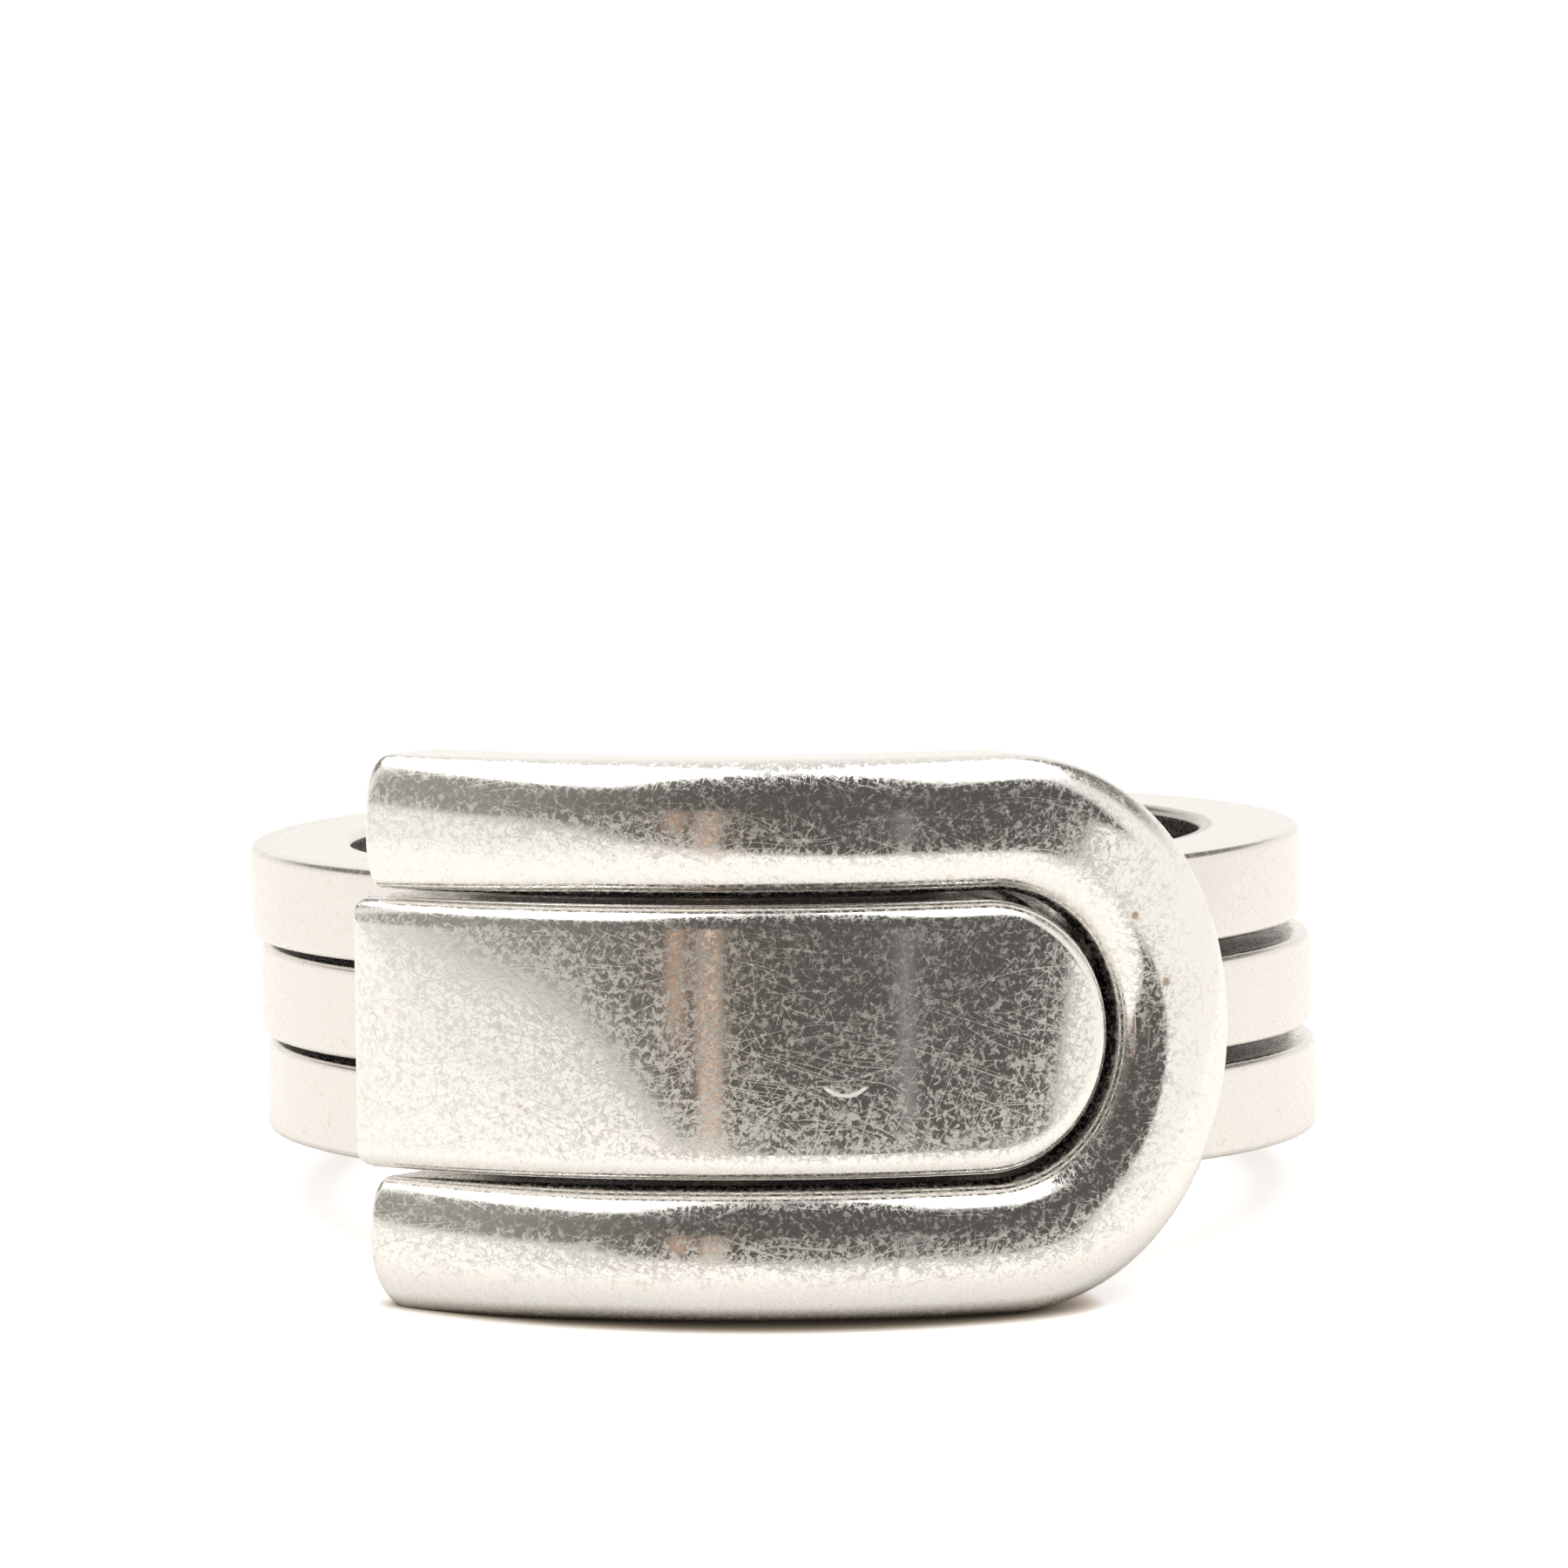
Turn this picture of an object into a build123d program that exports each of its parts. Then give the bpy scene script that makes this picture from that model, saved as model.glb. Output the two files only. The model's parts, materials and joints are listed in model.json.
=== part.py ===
from build123d import *
from math import cos, degrees, radians, sin, tan
import os

# Interlocking two-piece finger puzzle ring.
#
# A double ring carries two plain hoops and a U-shaped stirrup plate whose mouth is open to the left.
# A single ring carries one plain hoop and a tongue plate. Its hoop lies between the other two and the
# tongue fills the mouth of the stirrup. The hoops turn about the finger axis, +Z. The front is -Y, and
# the origin is the centre of the finger hole. Sizes are in millimetres and angles in degrees.

# Hoops
finger_hole_radius = 8.65
band_thickness = 2.05
band_height = 1.86
band_gap = 0.21
band_edge_radius = 0.12
band_fan_angle = 0.5
top_band_shift = -0.20
bottom_band_shift = 0.10

# Plates, with lengths measured along the curved front
plate_clearance = 0.10
plate_thickness = 2.02
arm_width = 2.65
arm_crown_radius = 0.65
slot_height = 5.64
mouth_length = 8.90
slot_length = 7.05
bend_step = 15

tongue_side_gap = 0.15
tongue_end_gap = 0.34
tongue_overhang = 0.42
tongue_edge_radius = 0.42

# Solder seams
fillet_reach = 0.80
seam_end_margin = 0.60

# Derived sizes
band_outer_radius = finger_hole_radius + band_thickness
band_mid_radius = finger_hole_radius + band_thickness / 2
band_pitch = band_height + band_gap
stack_half_height = band_pitch + band_height / 2
plate_back_radius = band_outer_radius + max(abs(top_band_shift), abs(bottom_band_shift)) + plate_clearance
plate_front_radius = plate_back_radius + plate_thickness
plate_mid_radius = plate_back_radius + plate_thickness / 2
slot_half_height = slot_height / 2
slot_centre_length = slot_length - slot_half_height
arm_offset = slot_half_height + arm_width / 2
bend_reach = slot_half_height + arm_width / 2 * plate_front_radius / plate_mid_radius
tongue_half_height = slot_half_height - tongue_side_gap
tongue_tip_length = slot_length - tongue_end_gap - tongue_half_height
tongue_root_length = mouth_length + tongue_overhang
seam_root_length = mouth_length - seam_end_margin
tongue_seam_half_height = band_height / 2 - 2 * band_edge_radius
up = Vector(0, 0, 1)


def turn(length):
    """Angle about the finger axis that a length along the curved front covers."""
    return degrees(length / plate_front_radius)


def front_point(radius, length, height):
    """Point at a radius and height whose place along the curved front is a length to the right."""
    angle = radians(turn(length))
    return Vector(radius * sin(angle), -radius * cos(angle), height)


def radial_plane(length):
    """Plane through the finger axis, its x outwards and its y up, at a length along the front."""
    outwards = front_point(1, length, 0)
    return Plane((0, 0, 0), x_dir=outwards, z_dir=outwards.cross(up))


def hoop(hoop_plane):
    """Plain hoop with a softened rectangular section, lying in a plane."""
    section_plane = Plane(hoop_plane.origin, x_dir=hoop_plane.x_dir, z_dir=-hoop_plane.y_dir)
    with BuildPart() as made:
        with BuildSketch(section_plane):
            with Locations((band_mid_radius, 0)):
                RectangleRounded(band_thickness, band_height, band_edge_radius)
        revolve(axis=Axis(hoop_plane.origin, hoop_plane.z_dir))
    return made


def fanned_plane(shift, height, fan):
    """Plane of an outer hoop, moved sideways and opened by a small angle towards the right."""
    across = Vector(cos(radians(fan)), 0, sin(radians(fan)))
    return Plane((shift, 0, height), x_dir=across, z_dir=across.cross(Vector(0, 1, 0)))


def stirrup_line(radius):
    """U-shaped line on a cylinder: along the upper arm, round the bend, back along the lower arm."""
    mouth_angle = turn(-mouth_length) - 90
    bend_angle = turn(slot_centre_length) - 90
    along = up.cross(front_point(1, slot_centre_length, 0))
    bend = []
    for angle in range(90, -91, -bend_step):
        length = slot_centre_length + bend_reach * cos(radians(angle))
        bend.append(front_point(radius, length, arm_offset * sin(radians(angle))))
    with BuildLine() as line:
        CenterArc((0, 0, arm_offset), radius, mouth_angle, bend_angle - mouth_angle)
        Spline(*bend, tangents=[along, -along])
        CenterArc((0, 0, -arm_offset), radius, bend_angle, mouth_angle - bend_angle)
    return line.wires()[0]


def front_edges(plate):
    """Edges that lie on the curved front of a plate."""
    def on_front(edge):
        places = [edge.position_at(share) for share in (0, 0.5, 1)]
        return all(abs(Vector(p.X, p.Y, 0).length - plate_front_radius) < 0.01 for p in places)
    return plate.edges().filter_by(on_front)


def tip_plane(distance):
    """Plane across the middle of the tongue's round tip, at a distance from the finger axis."""
    outwards = front_point(1, tongue_tip_length, 0)
    return Plane(outwards * distance, x_dir=up.cross(outwards), z_dir=outwards)


def seam(corners, root_length, end_length):
    """Solder with a section given as radius and height, run round the axis between two places."""
    with BuildPart() as made:
        with BuildSketch(radial_plane(-root_length)):
            with BuildLine():
                Polyline(*corners, close=True)
            make_face()
        revolve(axis=Axis.Z, revolution_arc=turn(root_length + end_length))
    return made


def arm_seam(side, band):
    """Solder fillet in the corner behind an arm, over the edge of its hoop; side is 1 above, -1 below."""
    deep = band_mid_radius - fillet_reach / 2
    corners = [
        (deep, slot_half_height),
        (plate_back_radius, slot_half_height),
        (plate_back_radius, stack_half_height + fillet_reach),
        (deep, stack_half_height),
    ]
    with BuildPart() as made:
        section = [(radius, side * height) for radius, height in corners]
        add(seam(section, seam_root_length, slot_centre_length).part)
        add(band.part, mode=Mode.SUBTRACT)
    return made


# Pieces
top_band = hoop(fanned_plane(top_band_shift, band_pitch, band_fan_angle))
middle_band = hoop(Plane.XY)
bottom_band = hoop(fanned_plane(bottom_band_shift, -band_pitch, -band_fan_angle))

# Stirrup: one crowned section swept round the U
with BuildPart() as stirrup:
    with BuildSketch(radial_plane(-mouth_length)) as arm_section:
        with Locations((plate_mid_radius, arm_offset)):
            Rectangle(plate_thickness, arm_width)
        fillet(arm_section.vertices().group_by(Axis.X)[-1], arm_crown_radius)
    sweep(path=stirrup_line(plate_mid_radius), binormal=stirrup_line(finger_hole_radius))

# Tongue: a curved plate with a round tip and softened front edges, crisp at its left end
with BuildPart() as tongue:
    with BuildSketch(radial_plane(tongue_tip_length)):
        with Locations((plate_mid_radius, 0)):
            Rectangle(plate_thickness, 2 * tongue_half_height)
    revolve(axis=Axis.Z, revolution_arc=turn(2 * tongue_half_height))
    for distance in (band_outer_radius / 2, 2 * plate_front_radius):
        with BuildSketch(tip_plane(distance)):
            Ellipse(distance * tan(radians(turn(tongue_half_height))), tongue_half_height)
    loft(ruled=True, mode=Mode.INTERSECT)
    with BuildSketch(radial_plane(-tongue_root_length)):
        with Locations((plate_mid_radius, 0)):
            Rectangle(plate_thickness, 2 * tongue_half_height)
    revolve(axis=Axis.Z, revolution_arc=turn(tongue_root_length + tongue_tip_length))
    fillet(front_edges(tongue).sort_by(Axis.X)[1:], tongue_edge_radius)

# Solder seams: a strip in the gap between the tongue and its hoop, and a fillet behind each arm
tongue_solder = seam(
    [
        (band_outer_radius, -tongue_seam_half_height),
        (plate_back_radius, -tongue_seam_half_height),
        (plate_back_radius, tongue_seam_half_height),
        (band_outer_radius, tongue_seam_half_height),
    ],
    seam_root_length,
    tongue_tip_length,
)
upper_solder = arm_seam(1, top_band)
lower_solder = arm_seam(-1, bottom_band)

top_band.part.label = "top_band"
middle_band.part.label = "middle_band"
bottom_band.part.label = "bottom_band"
stirrup.part.label = "stirrup"
tongue.part.label = "tongue"
upper_solder.part.label = "upper_solder"
lower_solder.part.label = "lower_solder"
tongue_solder.part.label = "tongue_solder"

os.makedirs("parts", exist_ok=True)
export_step(top_band.part, "parts/top_band.step")
export_step(middle_band.part, "parts/middle_band.step")
export_step(bottom_band.part, "parts/bottom_band.step")
export_step(stirrup.part, "parts/stirrup.step")
export_step(tongue.part, "parts/tongue.step")
export_step(upper_solder.part, "parts/upper_solder.step")
export_step(lower_solder.part, "parts/lower_solder.step")
export_step(tongue_solder.part, "parts/tongue_solder.step")
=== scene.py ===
import json
import math

import bmesh
import bpy
import numpy as np
from mathutils import Matrix, Vector


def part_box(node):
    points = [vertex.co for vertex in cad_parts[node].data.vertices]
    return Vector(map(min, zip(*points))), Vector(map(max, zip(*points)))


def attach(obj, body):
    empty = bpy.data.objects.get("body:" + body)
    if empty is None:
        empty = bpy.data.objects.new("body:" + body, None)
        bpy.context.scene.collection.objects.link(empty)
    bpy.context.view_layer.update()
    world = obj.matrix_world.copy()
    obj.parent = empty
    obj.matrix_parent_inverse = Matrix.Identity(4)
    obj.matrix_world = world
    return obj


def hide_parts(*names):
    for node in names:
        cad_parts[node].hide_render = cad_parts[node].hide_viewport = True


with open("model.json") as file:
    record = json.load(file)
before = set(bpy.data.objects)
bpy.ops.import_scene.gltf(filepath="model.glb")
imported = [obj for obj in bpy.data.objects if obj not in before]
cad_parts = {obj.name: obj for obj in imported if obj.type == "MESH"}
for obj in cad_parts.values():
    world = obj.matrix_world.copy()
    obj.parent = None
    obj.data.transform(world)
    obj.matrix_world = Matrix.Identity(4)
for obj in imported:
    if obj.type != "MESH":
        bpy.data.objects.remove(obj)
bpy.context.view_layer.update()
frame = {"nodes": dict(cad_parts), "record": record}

# Interlocking finger puzzle ring. Lengths in the script are metres; MM turns millimetres into metres.
MM = 0.001

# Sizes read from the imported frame
BAND_LOW, BAND_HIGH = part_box("middle_band")
TONGUE_LOW, TONGUE_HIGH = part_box("tongue")
STIRRUP_LOW, STIRRUP_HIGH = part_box("stirrup")
SOLDER_LOW, SOLDER_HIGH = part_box("tongue_solder")
OUTER_RADIUS = BAND_HIGH.x
BORE_RADIUS = frame["record"]["mounts"][0]["dims"]["r_mm"] * MM
BAND_HEIGHT = BAND_HIGH.z - BAND_LOW.z
FRONT_RADIUS = -TONGUE_LOW.y
BACK_RADIUS = -SOLDER_LOW.y
PLATE_THICKNESS = FRONT_RADIUS - BACK_RADIUS
TONGUE_HALF = TONGUE_HIGH.z
STIRRUP_HALF = STIRRUP_HIGH.z

# Lengths along the curved front, from the middle of the ring
MOUTH = FRONT_RADIUS * math.asin(STIRRUP_LOW.x / FRONT_RADIUS)
TONGUE_ROOT = FRONT_RADIUS * math.asin(TONGUE_LOW.x / FRONT_RADIUS)
TONGUE_SIDE_GAP = 0.15 * MM
SLOT_HALF = TONGUE_HALF + TONGUE_SIDE_GAP
SLOT_CENTRE = 4.23 * MM
BEND_CENTRE = 4.5 * MM
TONGUE_TIP_CENTRE = 4.04 * MM

# Softened edges, crowns and solder
BAND_EDGE = 0.16 * MM
BACK_EDGE = 0.12 * MM
TONGUE_EDGE = 0.42 * MM
TONGUE_END_EDGE = 0.08 * MM
TONGUE_CORNER = 0.22 * MM
TONGUE_CROWN = 0.08 * MM
MOUTH_DOME = 0.50 * MM
ARM_DOME = 0.85 * MM
DOME_RUN = 5.0 * MM
END_EDGE = 0.10 * MM
UPPER_CORNER = 0.34 * MM
LOWER_CORNER = 0.75 * MM
INNER_CORNER = 0.22 * MM
SOLDER_REACH = 0.68 * MM
SOLDER_START = 0.75 * MM
SOLDER_SINK = 0.02 * MM


# ---------------------------------------------------------------- mesh tools

MERGE_DISTANCE = 1e-7
LARGEST_PHASE = 6.28


def grid_mesh(name, points, wrap_rows=False, cap_rows=False):
    """Mesh from a grid of points that closes on itself across; its rows can close too, or be capped."""
    rows, columns = points.shape[:2]
    vertices = [tuple(p) for p in points.reshape(-1, 3)]
    faces = []
    for i in range(rows if wrap_rows else rows - 1):
        below = (i + 1) % rows
        for j in range(columns):
            right = (j + 1) % columns
            faces.append((i * columns + j, below * columns + j, below * columns + right, i * columns + right))
    if cap_rows:
        for row, turned in ((0, False), (rows - 1, True)):
            centre = len(vertices)
            vertices.append(tuple(points[row].mean(axis=0)))
            for j in range(columns):
                edge = [row * columns + j, row * columns + (j + 1) % columns]
                faces.append((centre, *(reversed(edge) if turned else edge)))
    mesh = bpy.data.meshes.new(name)
    mesh.from_pydata(vertices, [], faces)
    piece = bpy.data.objects.new(name, mesh)
    bpy.context.scene.collection.objects.link(piece)
    tidy_mesh(mesh)
    return piece


def tidy_mesh(mesh):
    """Merges points that lie together, turns every face outwards and shades the mesh smooth."""
    work = bmesh.new()
    work.from_mesh(mesh)
    bmesh.ops.remove_doubles(work, verts=work.verts, dist=MERGE_DISTANCE)
    bmesh.ops.recalc_face_normals(work, faces=work.faces)
    for face in work.faces:
        face.smooth = True
    work.to_mesh(mesh)
    work.free()


def on_curve(length, height, radius):
    """Places on the curved front, from a length to the right, a height and a radius."""
    angle = length / FRONT_RADIUS
    return np.stack([radius * np.sin(angle), -radius * np.cos(angle), height + 0 * angle], axis=-1)


def ease(count):
    """Numbers from 0 to 1, close together near both ends."""
    return 0.5 - 0.5 * np.cos(np.linspace(0, math.pi, count))


def quarter(count):
    """Angles of a quarter turn, for a rounded edge."""
    return np.linspace(0, math.pi / 2, count)


def half_turn(count):
    """Angles of a half turn without its two ends."""
    return np.linspace(0, math.pi, count)[1:-1]


def ripple(random, angles, first, last):
    """Random unevenness along a run, from a first number of waves up to a last one."""
    waves = range(first, last + 1)
    return sum(random.normal() * np.cos(k * angles + random.uniform(0, LARGEST_PHASE)) / k for k in waves)


# ---------------------------------------------------------------- hoops

SECTION_STEP = 0.1 * MM
HOOP_WIDTH_RIPPLE = 0.004
HOOP_HEIGHT_RIPPLE = 0.006


def hoop_section():
    """Rounded rectangle as distances from its middle, outwards and upwards."""
    half_thickness = (OUTER_RADIUS - BORE_RADIUS) / 2
    half_height = BAND_HEIGHT / 2
    corners = [(1, -1, -90), (1, 1, 0), (-1, 1, 90), (-1, -1, 180)]
    outline = []
    for side, level, start in corners:
        middle = np.array((side * (half_thickness - BAND_EDGE), level * (half_height - BAND_EDGE)))
        for angle in np.radians(np.linspace(start, start + 90, 9)):
            outline.append(middle + BAND_EDGE * np.array((math.cos(angle), math.sin(angle))))
    outline = np.array(outline)
    filled = []
    for here, there in zip(outline, np.roll(outline, -1, axis=0)):
        steps = max(1, int(np.linalg.norm(there - here) / SECTION_STEP))
        filled.extend(here + (there - here) * k / steps for k in range(steps))
    return np.array(filled)


def make_hoop(node, seed):
    """One hoop in the place of its CAD node, with the slight unevenness of hand filing."""
    low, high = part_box(node)
    centre = (low + high) / 2
    fan = math.asin(((high.z - low.z) - BAND_HEIGHT) / (2 * OUTER_RADIUS)) * np.sign(centre.z)
    random = np.random.default_rng(seed)
    section = hoop_section()
    angles = np.linspace(0, 2 * math.pi, 360, endpoint=False)
    wave = ripple(random, angles, 3, 13)
    lift = ripple(random, angles, 2, 10)
    middle = (OUTER_RADIUS + BORE_RADIUS) / 2
    radius = middle + section[None, :, 0] * (1 + HOOP_WIDTH_RIPPLE * wave[:, None])
    height = section[None, :, 1] * (1 + HOOP_HEIGHT_RIPPLE * lift[:, None])
    points = np.stack([
        radius * np.sin(angles)[:, None],
        -radius * np.cos(angles)[:, None],
        height,
    ], axis=-1)
    tilt = np.array(Matrix.Rotation(-fan, 3, "Y"))
    return grid_mesh(node + "_polished", points @ tilt.T + np.array(centre), wrap_rows=True)


# ---------------------------------------------------------------- stirrup

# Powers of the crown's curve: a high one is flatter on top, with a tighter turn into the sides
CROWN_POWER_ACROSS = 2.9
CROWN_POWER_UP = 2.1
CLOSE_SHARE = 0.12
CLOSE_POWER = 1.6


def corner_inset(distance, radius):
    """How far a rounded corner pulls an edge in, at a distance from the end."""
    near = np.clip(radius - distance, 0, radius)
    return radius - np.sqrt(np.maximum(radius ** 2 - near ** 2, 0))


def stirrup_outlines():
    """Inner and outer edge of the U as lengths and heights, from the upper mouth round to the lower."""
    close = CLOSE_SHARE * np.linspace(0, 1, 40) ** CLOSE_POWER
    share = np.concatenate([close, np.linspace(CLOSE_SHARE, 1, 70)[1:]])
    turn = math.pi / 2 - half_turn(121)
    arm_inner = MOUTH + share * (SLOT_CENTRE - MOUTH)
    arm_outer = MOUTH + share * (BEND_CENTRE - MOUTH)
    upper = STIRRUP_HALF - corner_inset(arm_outer - MOUTH, UPPER_CORNER)
    lower = STIRRUP_HALF - corner_inset(arm_outer - MOUTH, LOWER_CORNER)
    lower_inner = -SLOT_HALF - corner_inset(arm_inner - MOUTH, INNER_CORNER)
    inner = np.concatenate([
        np.stack([arm_inner, SLOT_HALF + 0 * share], axis=-1),
        np.stack([SLOT_CENTRE + SLOT_HALF * np.cos(turn), SLOT_HALF * np.sin(turn)], axis=-1),
        np.stack([arm_inner, lower_inner], axis=-1)[::-1],
    ])
    outer = np.concatenate([
        np.stack([arm_outer, upper], axis=-1),
        np.stack([BEND_CENTRE + STIRRUP_HALF * np.cos(turn), STIRRUP_HALF * np.sin(turn)], axis=-1),
        np.stack([arm_outer, -lower], axis=-1)[::-1],
    ])
    return inner, outer


def stirrup_section(dome):
    """Crowned section as shares: across from the inner edge outwards, and up from the back."""
    beta = np.linspace(0, math.pi, 49)
    side_share = 1 - dome / PLATE_THICKNESS
    crown_across = 0.5 + 0.5 * np.sign(np.cos(beta)) * np.abs(np.cos(beta)) ** (2 / CROWN_POWER_ACROSS)
    crown_up = side_share + (1 - side_share) * np.sin(beta) ** (2 / CROWN_POWER_UP)
    back = BACK_EDGE / PLATE_THICKNESS
    turn = quarter(6)
    inner_wall_up = np.linspace(side_share, back, 7)[1:-1]
    outer_wall_up = np.linspace(back, side_share, 7)[1:-1]
    across = np.concatenate([
        crown_across,
        np.zeros(5),
        back * (1 - np.cos(turn)),
        np.linspace(back, 1 - back, 12)[1:-1],
        1 - back + back * np.sin(turn),
        np.ones(5),
    ])
    up = np.concatenate([
        crown_up,
        inner_wall_up,
        back * (1 - np.sin(turn)),
        np.zeros(10),
        back * (1 - np.cos(turn)),
        outer_wall_up,
    ])
    return across, up


def make_stirrup():
    """U-shaped plate, flatter at its mouth and crowned along its arms and bend."""
    inner, outer = stirrup_outlines()
    across, flat_up = stirrup_section(MOUTH_DOME)
    across, full_up = stirrup_section(ARM_DOME)
    from_end = inner[:, 0] - MOUTH
    crowned = np.clip(from_end / DOME_RUN, 0, 1)[:, None]
    up = flat_up + (full_up - flat_up) * crowned
    inset = corner_inset(from_end, END_EDGE)
    width = np.linalg.norm(outer - inner, axis=1)
    across_scale = 1 - 2 * inset / width
    up_scale = 1 - 2 * inset / PLATE_THICKNESS
    across_here = 0.5 + (across[None, :] - 0.5) * across_scale[:, None]
    up_here = 0.5 + (up - 0.5) * up_scale[:, None]
    place = inner[:, None, :] + (outer - inner)[:, None, :] * across_here[:, :, None]
    radius = BACK_RADIUS + PLATE_THICKNESS * up_here
    points = on_curve(place[:, :, 0], place[:, :, 1], radius)
    return grid_mesh("stirrup_polished", points, cap_rows=True)


# ---------------------------------------------------------------- tongue

LEAST_CORNER = 0.03 * MM
LEAST_HALF = 1e-9


def tongue_outline(inset):
    """Outline of the tongue pulled in by a distance, as lengths and heights."""
    half = TONGUE_HALF - inset
    left = TONGUE_ROOT + max(inset * TONGUE_END_EDGE / TONGUE_EDGE, inset - TONGUE_EDGE + TONGUE_END_EDGE)
    corner = min(max(TONGUE_CORNER - inset, LEAST_CORNER), half)
    run = ease(90)
    turn = quarter(7)
    length = np.concatenate([
        left + corner + run * (TONGUE_TIP_CENTRE - left - corner),
        TONGUE_TIP_CENTRE + half * np.sin(half_turn(66)),
        left + corner + run[::-1] * (TONGUE_TIP_CENTRE - left - corner),
        left + corner * (1 - np.sin(turn[1:])),
        left + 0 * np.linspace(0, 1, 20)[1:-1],
        left + corner * (1 - np.cos(turn[:-1])),
    ])
    height = np.concatenate([
        half + 0 * run,
        half * np.cos(half_turn(66)),
        -half + 0 * run,
        -half + corner * (1 - np.cos(turn[1:])),
        np.linspace(-half + corner, half - corner, 20)[1:-1],
        half - corner * (1 - np.sin(turn[:-1])),
    ])
    return length, height


def make_tongue():
    """Tongue plate with a round tip, softened edges and a slightly crowned front."""
    turn = quarter(10)
    back_turn = quarter(5)
    face = np.linspace(TONGUE_EDGE, TONGUE_HALF, 22)[1:]
    rings = [(inset, 0.0) for inset in face[::-1]]
    rings += [(BACK_EDGE * (1 - math.sin(a)), BACK_EDGE * (1 - math.cos(a))) for a in back_turn]
    rings += [(0.0, up) for up in np.linspace(BACK_EDGE, PLATE_THICKNESS - TONGUE_EDGE, 8)[1:-1]]
    top = PLATE_THICKNESS - TONGUE_EDGE
    rings += [(TONGUE_EDGE * (1 - math.cos(a)), top + TONGUE_EDGE * math.sin(a)) for a in turn]
    rings += [(inset, PLATE_THICKNESS) for inset in face]
    rows = []
    for inset, up in rings:
        length, height = tongue_outline(min(inset, TONGUE_HALF - LEAST_HALF))
        inward = inset / TONGUE_HALF
        drop = TONGUE_CROWN * (1 - inward * (2 - inward)) if up > top else 0
        rows.append(on_curve(length, height, BACK_RADIUS + up - drop))
    return grid_mesh("tongue_polished", np.array(rows))


# ---------------------------------------------------------------- solder

SOLDER_RIPPLE = 0.07
SOLDER_TAPER = 14


def make_arm_solder(node, side, seed):
    """Hollow fillet of solder between an arm's back and its hoop, a little lumpy along its run."""
    low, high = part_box(node)
    random = np.random.default_rng(seed)
    foot = max(abs(low.z), abs(high.z)) - SOLDER_REACH
    lengths = np.linspace(MOUTH + SOLDER_START, SLOT_CENTRE, 140)
    share = np.linspace(0, 1, 140)
    lump = ripple(random, share * LARGEST_PHASE, 3, 15)
    taper = np.sqrt(np.clip(np.minimum(share, 1 - share) * SOLDER_TAPER, 0, 1))
    fade = taper * (1 + SOLDER_RIPPLE * lump)
    turn = quarter(14)
    section_in = SOLDER_REACH * np.concatenate([[0], 1 - np.sin(turn), [0]])
    section_up = SOLDER_REACH * np.concatenate([[0], 1 - np.cos(turn), [1]])
    inwards = SOLDER_SINK + section_in[None, :] * fade[:, None]
    inwards[:, [0, -1]] = -SOLDER_SINK
    upwards = section_up[None, :] * fade[:, None]
    points = on_curve(lengths[:, None] + 0 * inwards, side * (foot + upwards), BACK_RADIUS - inwards)
    return grid_mesh(node + "_bead", points, cap_rows=True)


# ---------------------------------------------------------------- materials

def put(tree, kind, **settings):
    """New node of a kind, with its settings."""
    node = tree.nodes.new(kind)
    for name, value in settings.items():
        setattr(node, name, value)
    return node


def feed(tree, node, values):
    """Gives a node's input sockets values or links."""
    for name, value in values.items():
        if isinstance(value, bpy.types.NodeSocket):
            tree.links.new(value, node.inputs[name])
        else:
            node.inputs[name].default_value = value
    return node


def calc(tree, operation, *values):
    """Result of a math node."""
    node = put(tree, "ShaderNodeMath", operation=operation)
    return feed(tree, node, dict(enumerate(values))).outputs[0]


def chain(tree, operation, values):
    """Result of one math operation over all the values in turn."""
    result = values[0]
    for value in values[1:]:
        result = calc(tree, operation, result, value)
    return result


def axes(tree, vector):
    """The three numbers of a vector."""
    parts = put(tree, "ShaderNodeSeparateXYZ")
    tree.links.new(vector, parts.inputs[0])
    return parts.outputs


def span(tree, value, low, high, to_low=0.0, to_high=1.0):
    """Value taken smoothly from one range to another."""
    node = put(tree, "ShaderNodeMapRange", interpolation_type="SMOOTHSTEP")
    numbers = {"Value": value, "From Min": low, "From Max": high, "To Min": to_low, "To Max": to_high}
    return feed(tree, node, numbers).outputs["Result"]


def unrolled(tree):
    """Surface coordinates in millimetres: length round the finger axis, height and radius."""
    x, y, z = axes(tree, put(tree, "ShaderNodeTexCoord").outputs["Object"])
    angle = calc(tree, "ARCTAN2", x, calc(tree, "MULTIPLY", y, -1.0))
    squares = [calc(tree, "MULTIPLY", side, side) for side in (x, y)]
    across = calc(tree, "SQRT", calc(tree, "ADD", *squares))
    joined = put(tree, "ShaderNodeCombineXYZ")
    lengths = {
        "X": calc(tree, "MULTIPLY", angle, FRONT_RADIUS / MM),
        "Y": calc(tree, "DIVIDE", z, MM),
        "Z": calc(tree, "DIVIDE", across, MM),
    }
    return feed(tree, joined, lengths).outputs[0]


def noise(tree, vector, scale, detail=2.0, roughness=0.5, distortion=0.0):
    """Noise value at a scale."""
    node = put(tree, "ShaderNodeTexNoise")
    values = {"Vector": vector, "Scale": scale, "Detail": detail}
    values.update({"Roughness": roughness, "Distortion": distortion})
    return feed(tree, node, values).outputs[0]


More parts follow.
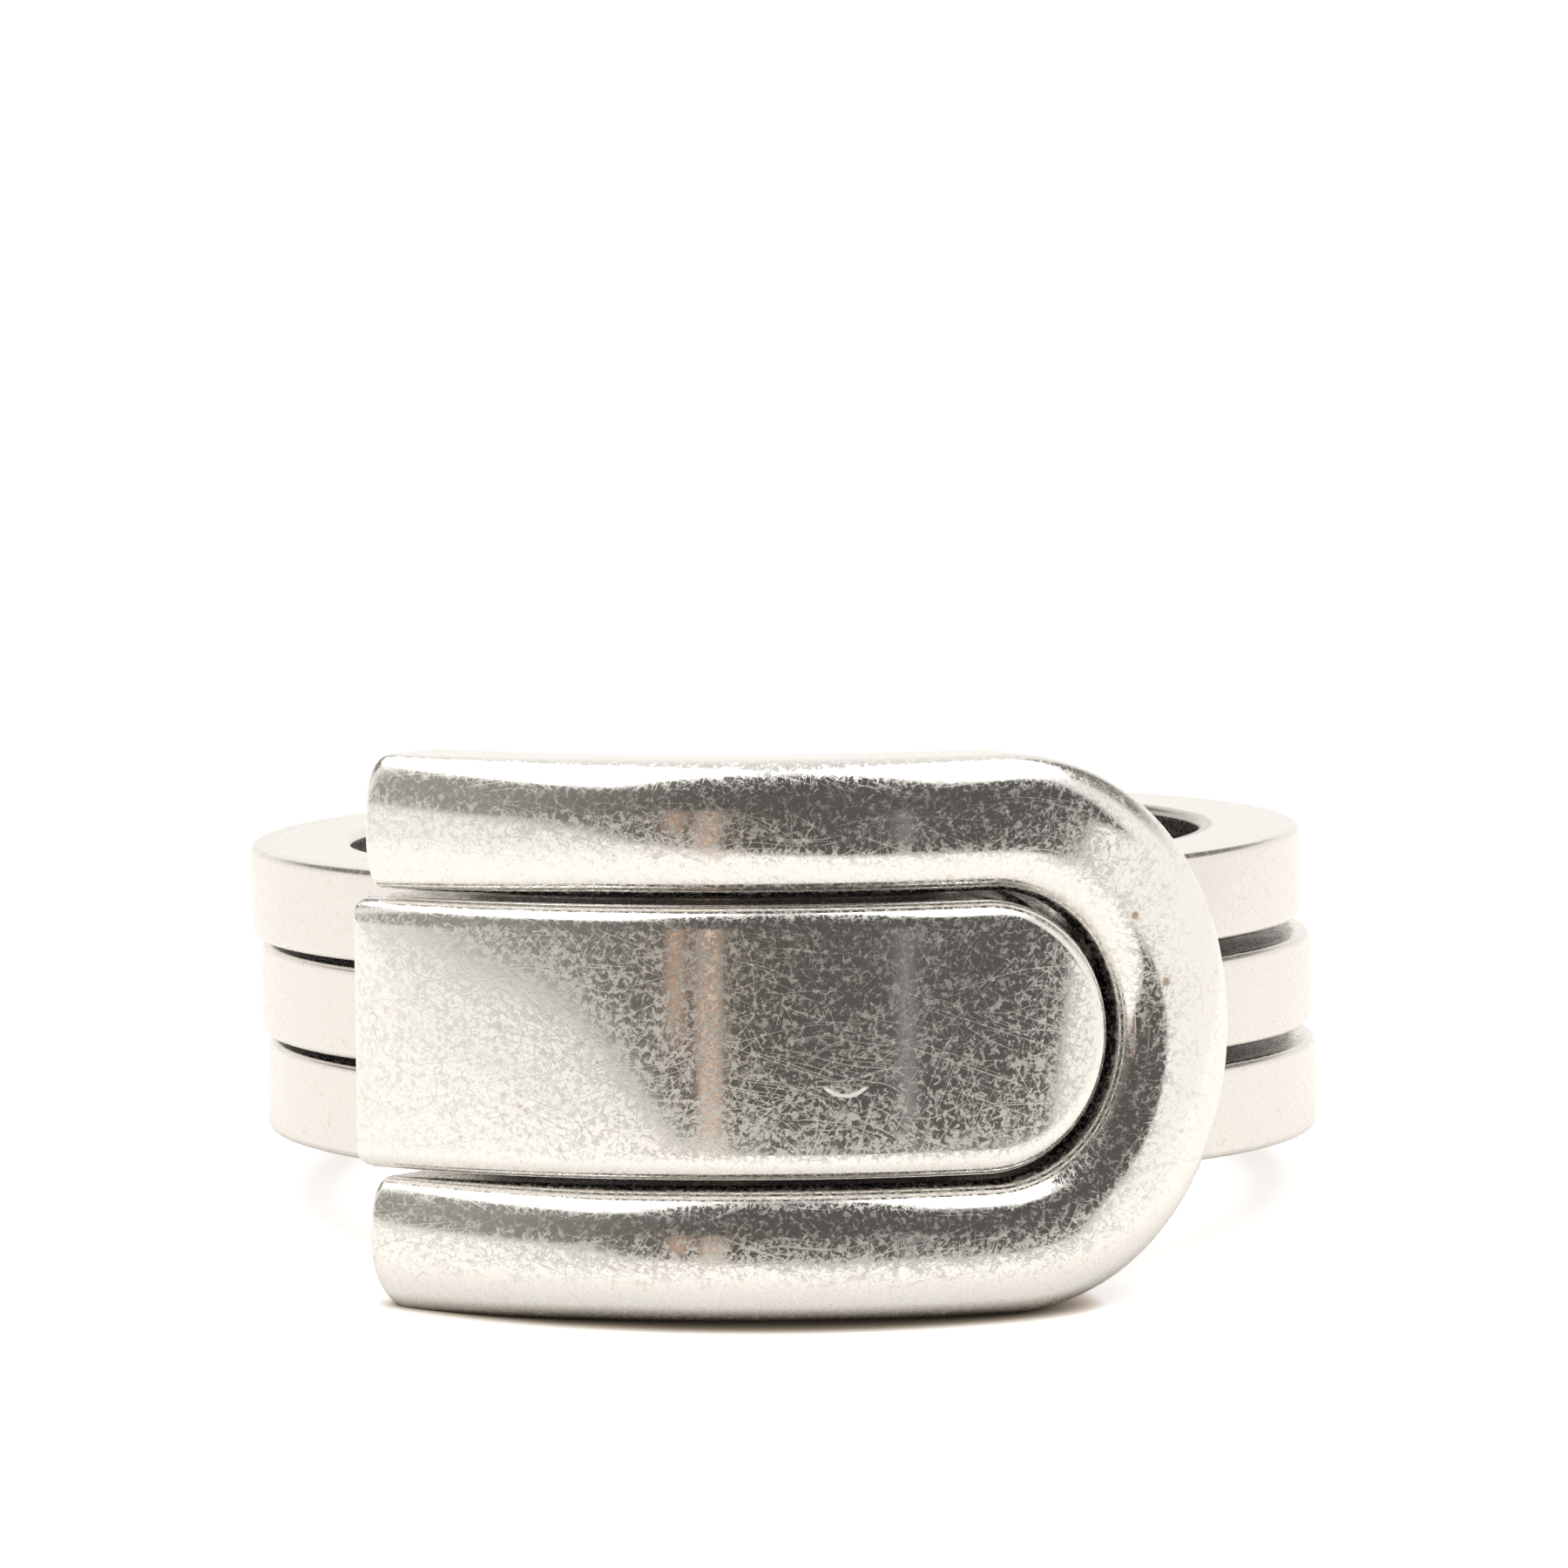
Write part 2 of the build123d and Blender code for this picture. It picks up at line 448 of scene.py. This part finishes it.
# Scratches: angle in degrees, length and width in millimetres, share left clear, and the pattern's offset
CURVED_SCRATCHES = (
    (8, 3.0, 0.030, 0.67, 3.1),
    (-24, 2.5, 0.026, 0.67, 9.7),
    (47, 1.4, 0.030, 0.67, 17.3),
    (82, 1.2, 0.028, 0.68, 28.9),
)
STRAIGHT_SCRATCHES = (
    (-63, 1.8, 0.034, 0.69, 41.2),
    (-20, 4.5, 0.045, 0.70, 55.3),
)
SCRATCH_EDGE = 0.045
SWIRL_SIZE = 3.0
SWIRL_AMOUNT = 2.0


def hairlines(tree, vector, angle, length, width, clear, offset):
    """Mask of straight fine scratches that run at an angle."""
    moved = put(tree, "ShaderNodeMapping", vector_type="TEXTURE")
    values = {
        "Vector": vector,
        "Location": (offset, offset * 0.7, 0.0),
        "Rotation": (0.0, 0.0, math.radians(angle)),
        "Scale": (length, width, width * 6),
    }
    lines = noise(tree, feed(tree, moved, values).outputs[0], 1.0, detail=1.0)
    return span(tree, lines, clear, clear + SCRATCH_EDGE)


def swirled(tree, vector):
    """Vector bent by a soft noise, so that scratches on it curve."""
    node = put(tree, "ShaderNodeTexNoise")
    feed(tree, node, {"Vector": vector, "Scale": 1 / SWIRL_SIZE, "Detail": 1.0})
    shift = put(tree, "ShaderNodeVectorMath", operation="MULTIPLY_ADD")
    values = {0: node.outputs["Color"], 1: (SWIRL_AMOUNT, SWIRL_AMOUNT, 0.0), 2: vector}
    return feed(tree, shift, values).outputs[0]


def mixed(tree, factor, first, second):
    """Colour between two colours."""
    node = put(tree, "ShaderNodeMix", data_type="RGBA")
    colours = [
        colour if isinstance(colour, bpy.types.NodeSocket) else (*colour, 1.0)
        for colour in (first, second)
    ]
    return feed(tree, node, {0: factor, 6: colours[0], 7: colours[1]}).outputs[2]


TARNISH_COLOUR = (0.46, 0.35, 0.25)
# Near-black painted shade that the slot and hoop masks lay on the silver
PAINTED_SHADE_COLOUR = (0.085, 0.065, 0.05)
SCAR_COLOUR = (0.95, 0.94, 0.92)
PAINTED_SHADE_STRENGTH = 0.88
HAZE_ROUGHNESS = 0.03
FLECK_ROUGHNESS = 0.30
LINE_ROUGHNESS = 0.20
RELIEF = 0.7
BUMP_STRENGTH = 0.6
BUMP_DEPTH = 0.0010 * MM


def silver(name, shine, scratch, tarnish, tone, painted_shade=None, scars=False):
    """Worn sterling silver: fleck, hairlines, warm specks of tarnish, and painted shade where a mask says so.
    """
    material = bpy.data.materials.new(name)
    material.use_nodes = True
    tree = material.node_tree
    shader = tree.nodes["Principled BSDF"]
    surface = unrolled(tree)
    curved = swirled(tree, surface)
    layers = [hairlines(tree, curved, *scratches) for scratches in CURVED_SCRATCHES]
    layers += [hairlines(tree, surface, *scratches) for scratches in STRAIGHT_SCRATCHES]
    lines = chain(tree, "MAXIMUM", layers)
    haze = span(tree, noise(tree, surface, 0.8, detail=3.0), 0.35, 0.65)
    grain = noise(tree, surface, 8.5, detail=4.0, roughness=0.65, distortion=0.7)
    fleck = span(tree, grain, 0.46, 0.62)
    cloud = noise(tree, surface, 2.6, detail=6.0, roughness=0.75, distortion=0.5)
    web = span(tree, cloud, 0.56, 0.70)
    stain = chain(tree, "MULTIPLY", [web, fleck, tarnish])
    if scars:
        pits = [spot(tree, surface, length, height) for length, height in PITS]
        stain = chain(tree, "MAXIMUM", [stain, *pits])
    colour = mixed(tree, stain, tone, TARNISH_COLOUR)
    if painted_shade:
        # Painted shade: the mask pulls the colour towards near black
        shaded = calc(tree, "MULTIPLY", painted_shade(tree, surface), PAINTED_SHADE_STRENGTH)
        colour = mixed(tree, shaded, colour, PAINTED_SHADE_COLOUR)
    rough = chain(tree, "ADD", [
        calc(tree, "MULTIPLY", haze, HAZE_ROUGHNESS),
        calc(tree, "MULTIPLY", fleck, FLECK_ROUGHNESS * scratch),
        calc(tree, "MULTIPLY", lines, LINE_ROUGHNESS * scratch),
        shine,
    ])
    height = calc(tree, "MULTIPLY", calc(tree, "SUBTRACT", fleck, lines), RELIEF)
    bump = put(tree, "ShaderNodeBump")
    feed(tree, bump, {"Height": height, "Strength": BUMP_STRENGTH * scratch, "Distance": BUMP_DEPTH})
    links = {"Base Color": colour, "Roughness": rough, "Normal": bump.outputs[0]}
    shader.inputs["Metallic"].default_value = 1.0
    if scars:
        scar = nick(tree, surface)
        links["Base Color"] = mixed(tree, scar, colour, SCAR_COLOUR)
        links["Metallic"] = calc(tree, "SUBTRACT", 1.0, scar)
    feed(tree, shader, links)
    return material


# Two pits in the stirrup's bend and a small curved nick in the tongue, as lengths and heights in millimetres
PITS = ((7.18, 2.25), (7.89, 0.90))
PIT_RADIUS = 0.09
NICK_CENTRE = (1.13, -0.46)
NICK_RADIUS = 0.55
NICK_WIDTH = 0.05
NICK_DEPTH = (0.14, 0.20)


def away(tree, surface, length, height):
    """Distance from a place on the front, further away on anything that lies deeper."""
    place = put(tree, "ShaderNodeCombineXYZ")
    feed(tree, place, {"X": length, "Y": height, "Z": FRONT_RADIUS / MM})
    between = put(tree, "ShaderNodeVectorMath", operation="DISTANCE")
    return feed(tree, between, {0: surface, 1: place.outputs[0]}).outputs["Value"]


def spot(tree, surface, length, height):
    """Mask of a small round pit."""
    return span(tree, away(tree, surface, length, height), PIT_RADIUS * 0.5, PIT_RADIUS * 1.3, 1.0, 0.0)


def nick(tree, surface):
    """Mask of one short curved scratch, the lower part of a small ring."""
    off = calc(tree, "ABSOLUTE", calc(tree, "SUBTRACT", away(tree, surface, *NICK_CENTRE), NICK_RADIUS))
    ring = span(tree, off, NICK_WIDTH * 0.5, NICK_WIDTH, 1.0, 0.0)
    foot = NICK_CENTRE[1] - NICK_RADIUS
    low = span(tree, axes(tree, surface)[1], foot + NICK_DEPTH[0], foot + NICK_DEPTH[1], 1.0, 0.0)
    return calc(tree, "MULTIPLY", ring, low)


# Limits of the painted shade, in millimetres: depth below the front, height past an edge, and length from the
# middle
SLOT_DEPTH = (1.5, 0.9)
SLOT_REACH = (0.02, 0.12)
SLOT_LEFT_END = (-8.6, -6.5)
SLOT_RIGHT_END = (8.1, 8.6)
UNDERSIDE_REACH = (0.02, 0.16)
UNDERSIDE_STRENGTH = 0.85
GAP_EDGE = 0.05
GAP_REACH = (0.30, 0.36)
GAP_DEPTH = (0.50, 0.25)
BORE_SHADE_DEPTH = (0.02, 0.12)
BORE_SHADE_STRENGTH = 0.6
OUTER_DARKENING_DEPTH = (0.26, 0.20)
OUTER_DARKENING_STRENGTH = 0.06


def slot_painted_shade(tree, surface):
    """Painted shade on the walls of the slot, and along the underside of the stirrup."""
    length, level, radius = axes(tree, surface)
    height = calc(tree, "ABSOLUTE", level)
    front = FRONT_RADIUS / MM
    side = SLOT_HALF / MM
    bottom = -STIRRUP_HALF / MM
    # Painted shade on the slot walls, fading out towards the front and past the slot's edges and ends
    walls = chain(tree, "MULTIPLY", [
        span(tree, radius, front - SLOT_DEPTH[0], front - SLOT_DEPTH[1], 1.0, 0.0),
        span(tree, height, side + SLOT_REACH[0], side + SLOT_REACH[1], 1.0, 0.0),
        span(tree, length, *SLOT_RIGHT_END, 1.0, 0.0),
        span(tree, length, *SLOT_LEFT_END),
    ])
    # Painted shade along the stirrup's underside, where the metal reflects the table close to the contact
    reach = (bottom + UNDERSIDE_REACH[0], bottom + UNDERSIDE_REACH[1])
    under = span(tree, level, *reach, UNDERSIDE_STRENGTH, 0.0)
    return calc(tree, "MAXIMUM", walls, under)


def hoop_painted_shade(tree, surface):
    """Painted shade along the hoops' edges at the gaps between them and inside the finger hole, and a faint
    darkening near their outer face.
    """
    level, radius = axes(tree, surface)[1:]
    height = calc(tree, "ABSOLUTE", level)
    half = BAND_HEIGHT / 2 / MM
    outer = OUTER_RADIUS / MM
    bore = BORE_RADIUS / MM
    # Painted shade along the hoop edges that face the gaps, fading in from the outer face
    gap = chain(tree, "MULTIPLY", [
        span(tree, height, half - GAP_EDGE, half),
        span(tree, height, half + GAP_REACH[0], half + GAP_REACH[1], 1.0, 0.0),
        span(tree, radius, outer - GAP_DEPTH[0], outer - GAP_DEPTH[1], 1.0, 0.0),
    ])
    # Painted shade inside the finger hole, and a faint even darkening near the outer face
    bore_depth = (bore + BORE_SHADE_DEPTH[0], bore + BORE_SHADE_DEPTH[1])
    side_depth = (outer - OUTER_DARKENING_DEPTH[0], outer - OUTER_DARKENING_DEPTH[1])
    bore_shade = span(tree, radius, *bore_depth, BORE_SHADE_STRENGTH, 0.0)
    outer_darkening = span(tree, radius, *side_depth, 0.0, OUTER_DARKENING_STRENGTH)
    return chain(tree, "MAXIMUM", [gap, bore_shade, outer_darkening])


def dress(piece, body, slot, material, *nodes):
    """Gives a piece its material, the body that it rides on and the CAD nodes that it stands for."""
    piece.data.materials.clear()
    piece.data.materials.append(material)
    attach(piece, body)
    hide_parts(*nodes)


# ---------------------------------------------------------------- studio

# The ring leans back on its lower arm and the back of its lowest hoop. The shares say how far forward
# under the arm the studio's level and the table lie.
HOOP_DEPTH = abs(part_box("bottom_band")[0].z)
STUDIO_SHARE = 0.72
TOUCH_SHARE = 0.87
STUDIO_TILT = math.atan2(abs(STIRRUP_LOW.z) - HOOP_DEPTH, OUTER_RADIUS - STIRRUP_LOW.y * STUDIO_SHARE)
TOUCH = Vector((0, STIRRUP_LOW.y * TOUCH_SHARE, STIRRUP_LOW.z))
TABLE_TILT = math.atan2(abs(TOUCH.z) - HOOP_DEPTH, OUTER_RADIUS - TOUCH.y)
TABLE_RADIUS = 92 * MM
TABLE_PLACE = Vector((-30, 44)) * MM
TABLE_GAP = 0.01 * MM
# Painted contact shadow: within this reach of the ring the table's colour and glow turn darker and warmer
CONTACT_REACH = 0.45 * MM
TABLE_COLOUR = (0.50, 0.485, 0.465)
CONTACT_SHADOW_COLOUR = (0.38, 0.35, 0.32)
TABLE_GLOW = (1.0, 0.985, 0.965)
CONTACT_SHADOW_GLOW = (0.95, 0.78, 0.58)
GLOW_SEEN = 0.56
GLOW_REFLECTED = 0.14


def make_table():
    """Pale round, glowing table under the ring, with a painted contact shadow that darkens and warms it close
    to where the ring touches it.
    """
    rise = math.tan(TABLE_TILT)
    rim = []
    for angle in np.linspace(0, 2 * math.pi, 96, endpoint=False):
        x = TABLE_PLACE.x + TABLE_RADIUS * math.cos(angle)
        y = TABLE_PLACE.y + TABLE_RADIUS * math.sin(angle)
        rim.append((x, y, TOUCH.z + rise * (y - TOUCH.y) - TABLE_GAP))
    mesh = bpy.data.meshes.new("table")
    mesh.from_pydata(rim, [], [tuple(range(len(rim)))])
    table = bpy.data.objects.new("table", mesh)
    bpy.context.scene.collection.objects.link(table)
    material = bpy.data.materials.new("pale_table")
    material.use_nodes = True
    shader = material.node_tree.nodes["Principled BSDF"]
    shader.inputs["Roughness"].default_value = 0.9
    shader.inputs["Specular IOR Level"].default_value = 0.0
    tree = material.node_tree
    seen = put(tree, "ShaderNodeLightPath").outputs["Is Camera Ray"]
    near = put(tree, "ShaderNodeAmbientOcclusion", samples=8)
    open_sky = feed(tree, near, {"Distance": CONTACT_REACH}).outputs["AO"]
    glow = calc(tree, "MULTIPLY_ADD", seen, GLOW_SEEN, GLOW_REFLECTED)
    links = {
        # Painted contact shadow, from ambient occlusion, in the table's colour and glow
        "Base Color": mixed(tree, open_sky, CONTACT_SHADOW_COLOUR, TABLE_COLOUR),
        "Emission Color": mixed(tree, span(tree, open_sky, 0.3, 1.0), CONTACT_SHADOW_GLOW, TABLE_GLOW),
        "Emission Strength": calc(tree, "MULTIPLY", glow, open_sky),
    }
    feed(tree, shader, links)
    mesh.materials.append(material)


def sweep(tree, angle, low, high, to_low=0.0, to_high=1.0):
    """Value that goes smoothly from one number to another between two angles in degrees."""
    return span(tree, angle, math.radians(low), math.radians(high), to_low, to_high)


def window(tree, azimuth, elevation, sides, levels, soft):
    """Mask of a soft rectangle of the sky, its sides, levels and softness in degrees."""
    return chain(tree, "MULTIPLY", [
        sweep(tree, azimuth, sides[0] - soft, sides[0] + soft),
        sweep(tree, azimuth, sides[1] - soft, sides[1] + soft, 1.0, 0.0),
        sweep(tree, elevation, levels[0] - soft, levels[0] + soft),
        sweep(tree, elevation, levels[1] - soft, levels[1] + soft, 1.0, 0.0),
    ])


def dark_side(tree, azimuth, elevation):
    """Mask of the unlit side of the studio, whose lower edge falls to the front and rises to the right."""
    fall = sweep(tree, azimuth, -45, 15, math.radians(1.3), math.radians(-15))
    rise = sweep(tree, azimuth, 40, 64, math.radians(-15), math.radians(6))
    above = calc(tree, "SUBTRACT", elevation, calc(tree, "MAXIMUM", fall, rise))
    return chain(tree, "MULTIPLY", [
        sweep(tree, azimuth, -92, -80),
        sweep(tree, azimuth, 70, 78, 1.0, 0.0),
        sweep(tree, above, -2, 2),
        sweep(tree, elevation, 70, 84, 1.0, 0.0),
    ])


# The studio: colours from the horizon up, and patches as (sides, levels, softness, colour), angles in degrees
TENT_LOW = (1.02, 0.99, 0.95)
TENT_HIGH = (0.70, 0.69, 0.68)
UNLIT_LEFT = (0.33, 0.32, 0.295)
UNLIT_FRONT = (0.10, 0.096, 0.087)
SOFT_BOX = (2.8, 2.75, 2.7)
SHADE = (0.24, 0.22, 0.20)
BACKDROP = (1.1, 1.1, 1.1)
SHADES = (
    ((-160, -104), (16, 50), 8, SHADE),
    ((104, 160), (16, 50), 8, SHADE),
)
LIGHTS = (
    ((-160, -38), (45, 84), 5, SOFT_BOX),
    ((36, 160), (47, 86), 5, SOFT_BOX),
    ((-21, -18.4), (0.5, 12), 0.7, (0.64, 0.43, 0.32)),
    ((-15.4, -11.6), (-14, 12), 0.7, (0.72, 0.55, 0.44)),
    ((20, 22), (-5, 10), 1.2, (0.40, 0.39, 0.38)),
)


def make_sky():
    """Pale tent with a dark front side and soft boxes above, which the camera sees as white."""
    world = bpy.data.worlds.new("studio")
    bpy.context.scene.world = world
    world.use_nodes = True
    tree = world.node_tree
    tree.nodes.clear()
    direction = put(tree, "ShaderNodeTexCoord").outputs["Generated"]
    level = put(tree, "ShaderNodeVectorRotate", rotation_type="X_AXIS")
    feed(tree, level, {"Vector": direction, "Angle": -STUDIO_TILT})
    x, y, z = axes(tree, level.outputs[0])
    azimuth = calc(tree, "ARCTAN2", x, calc(tree, "MULTIPLY", y, -1.0))
    elevation = calc(tree, "ARCSINE", z)
    sky = mixed(tree, span(tree, elevation, 0.1, 1.2), TENT_LOW, TENT_HIGH)
    for sides, levels, soft, colour in SHADES:
        sky = mixed(tree, window(tree, azimuth, elevation, sides, levels, soft), sky, colour)
    unlit = mixed(tree, sweep(tree, azimuth, -75, -8), UNLIT_LEFT, UNLIT_FRONT)
    sky = mixed(tree, dark_side(tree, azimuth, elevation), sky, unlit)
    for sides, levels, soft, colour in LIGHTS:
        sky = mixed(tree, window(tree, azimuth, elevation, sides, levels, soft), sky, colour)
    seen = put(tree, "ShaderNodeLightPath").outputs["Is Camera Ray"]
    background = put(tree, "ShaderNodeBackground")
    feed(tree, background, {"Color": mixed(tree, seen, sky, BACKDROP), "Strength": 1.0})
    output = put(tree, "ShaderNodeOutputWorld")
    tree.links.new(background.outputs[0], output.inputs[0])


LAMP_SIZE = 0.5
LAMP_ENERGY = 2.4
LAMP_PLACE = Vector((0.02, -0.05, 0.45))


def make_lamp():
    """Broad overhead light that whitens the table and leaves a soft shadow, without showing in the metal."""
    lamp = bpy.data.lights.new("overhead", "AREA")
    lamp.size = LAMP_SIZE
    lamp.energy = LAMP_ENERGY
    light = bpy.data.objects.new("overhead", lamp)
    bpy.context.scene.collection.objects.link(light)
    light.location = LAMP_PLACE
    light.rotation_mode = "QUATERNION"
    light.rotation_quaternion = LAMP_PLACE.to_track_quat("Z", "Y")
    light.visible_glossy = False


CAMERA_DISTANCE = 236.6 * MM
CAMERA_ELEVATION = math.radians(5.82)
CAMERA_ROLL = math.radians(0.65)
CAMERA_LENS = 265.7
CAMERA_SENSOR = 36
AIM_HEIGHT = 3.94 * MM


def make_camera():
    """Camera of a close view from the front, a little above the ring."""
    data = bpy.data.cameras.new("camera")
    data.sensor_width = CAMERA_SENSOR
    data.lens = CAMERA_LENS
    data.clip_start = 0.01
    data.clip_end = 10
    camera = bpy.data.objects.new("camera", data)
    bpy.context.scene.collection.objects.link(camera)
    rise = math.sin(CAMERA_ELEVATION)
    run = math.cos(CAMERA_ELEVATION)
    camera.location = Vector((0, -run, rise)) * CAMERA_DISTANCE
    look = (Vector((0, rise, run)) * AIM_HEIGHT - camera.location).to_track_quat("-Z", "Y")
    camera.rotation_mode = "QUATERNION"
    camera.rotation_quaternion = look @ Matrix.Rotation(-CAMERA_ROLL, 3, "Z").to_quaternion()
    bpy.context.scene.camera = camera


bpy.context.scene.view_settings.view_transform = "Standard"
make_camera()
make_sky()
make_lamp()
make_table()

hoop_silver = silver("hoop_silver", 0.14, 0.45, 0.5, (0.85, 0.825, 0.79), hoop_painted_shade)
plate_silver = silver("plate_silver", 0.065, 1.0, 0.45, (0.92, 0.90, 0.865), slot_painted_shade, scars=True)
solder_silver = silver("solder_silver", 0.34, 0.6, 0.7, (0.66, 0.60, 0.53))

dress(make_hoop("top_band", 11), "double_ring", "silver_hoops", hoop_silver, "top_band")
dress(make_hoop("middle_band", 12), "tongue_ring", "silver_hoops", hoop_silver, "middle_band")
dress(make_hoop("bottom_band", 13), "double_ring", "silver_hoops", hoop_silver, "bottom_band")
dress(make_stirrup(), "double_ring", "silver_plates", plate_silver, "stirrup")
dress(make_tongue(), "tongue_ring", "silver_plates", plate_silver, "tongue")
dress(make_arm_solder("upper_solder", 1, 21), "double_ring", "silver_solder", solder_silver, "upper_solder")
dress(make_arm_solder("lower_solder", -1, 22), "double_ring", "silver_solder", solder_silver, "lower_solder")

seam = frame["nodes"]["tongue_solder"]
seam.data.materials.clear()
seam.data.materials.append(solder_silver)
